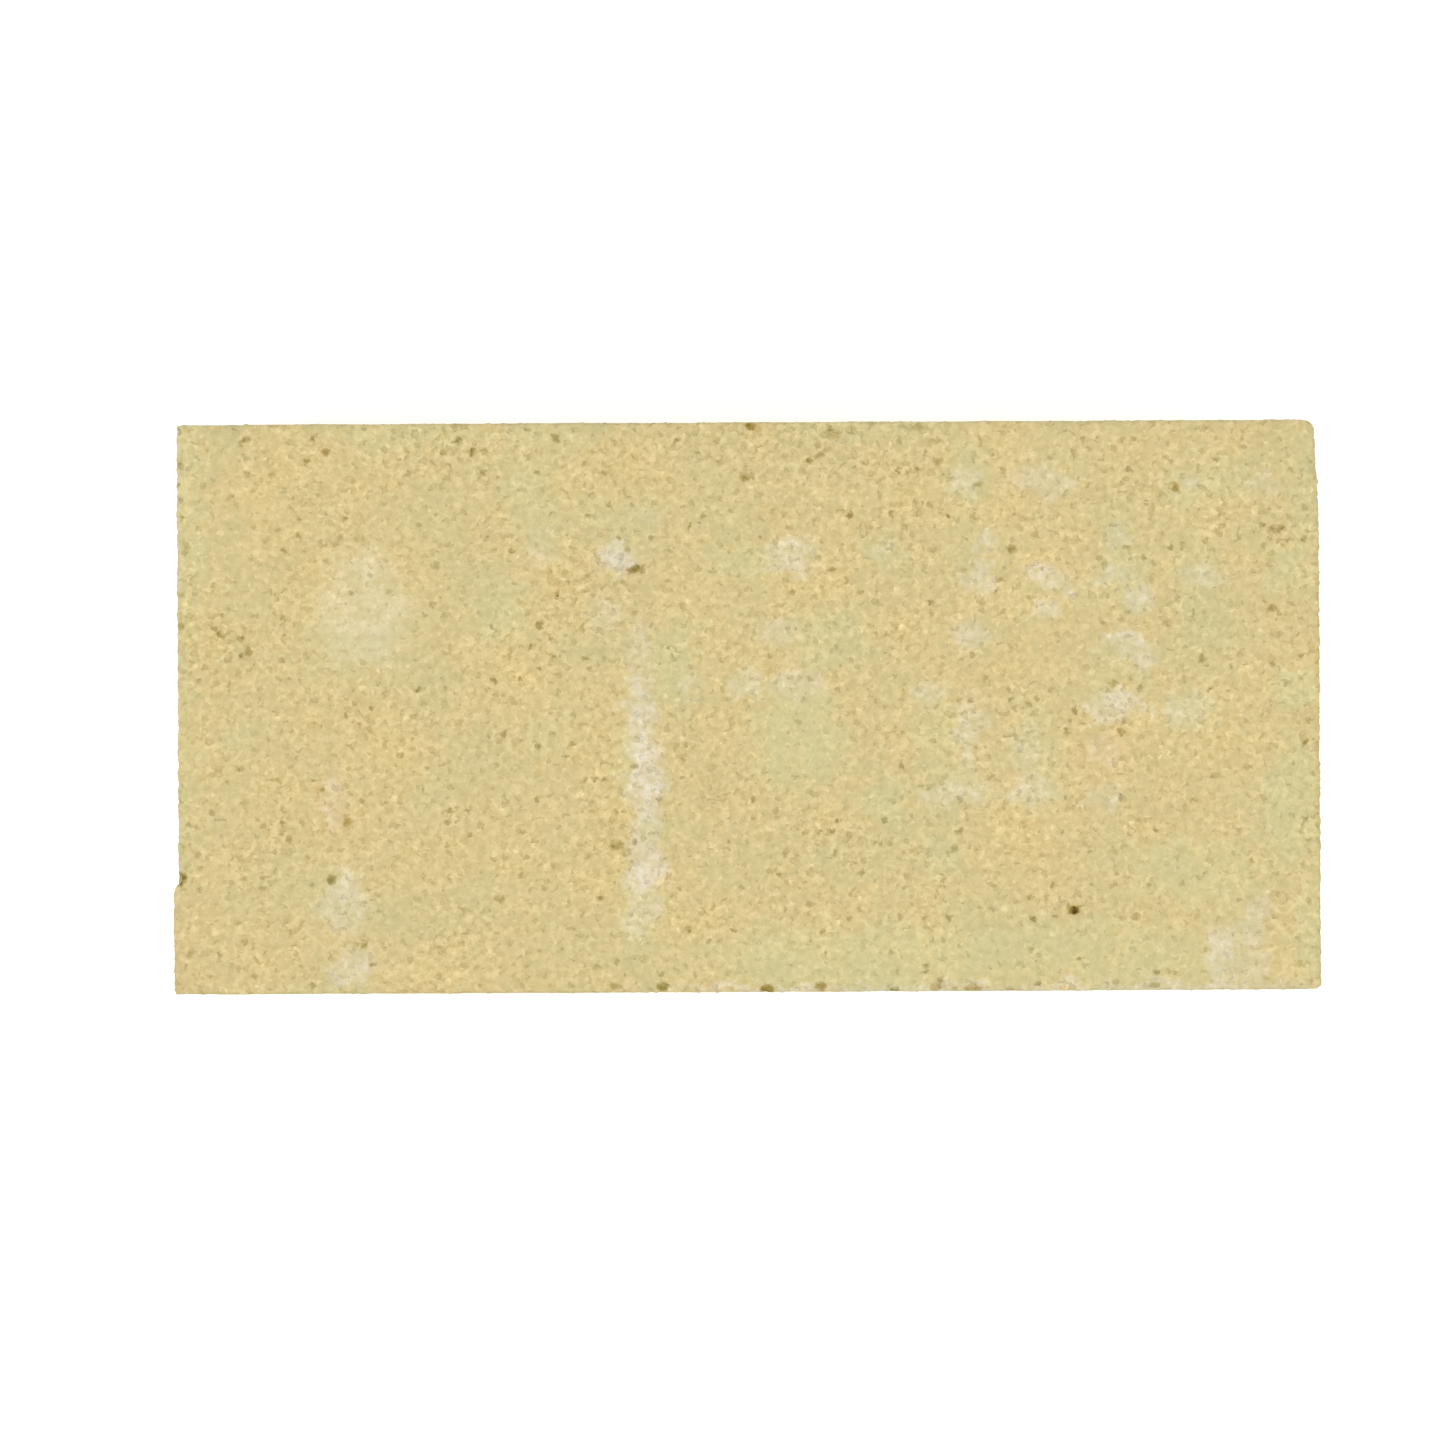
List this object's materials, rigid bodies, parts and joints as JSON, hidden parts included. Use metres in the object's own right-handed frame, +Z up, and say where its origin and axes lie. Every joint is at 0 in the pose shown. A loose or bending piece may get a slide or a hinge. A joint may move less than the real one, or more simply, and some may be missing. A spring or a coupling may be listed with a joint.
{
  "type": "firebrick",
  "caption": "Dense buff fireclay brick, a solid rectangular block with lightly rounded, chipped arrises, for lining furnaces, kilns and fireplaces.",
  "frame": {"origin": "on the floor, under the middle of the brick's outer box", "axes": "+X along the length, away from the end with the lip; +Y across the width; +Z up through the thickness, so the brick lies on its bed face"},
  "size_m": [0.2296, 0.1142, 0.0635],
  "materials": {
    "fireclay": "unglazed, matt, fine sandy grain with small iron specks"
  },
  "bodies": {
    "root": {"firebrick": "fireclay"}
  },
  "joints": []
}
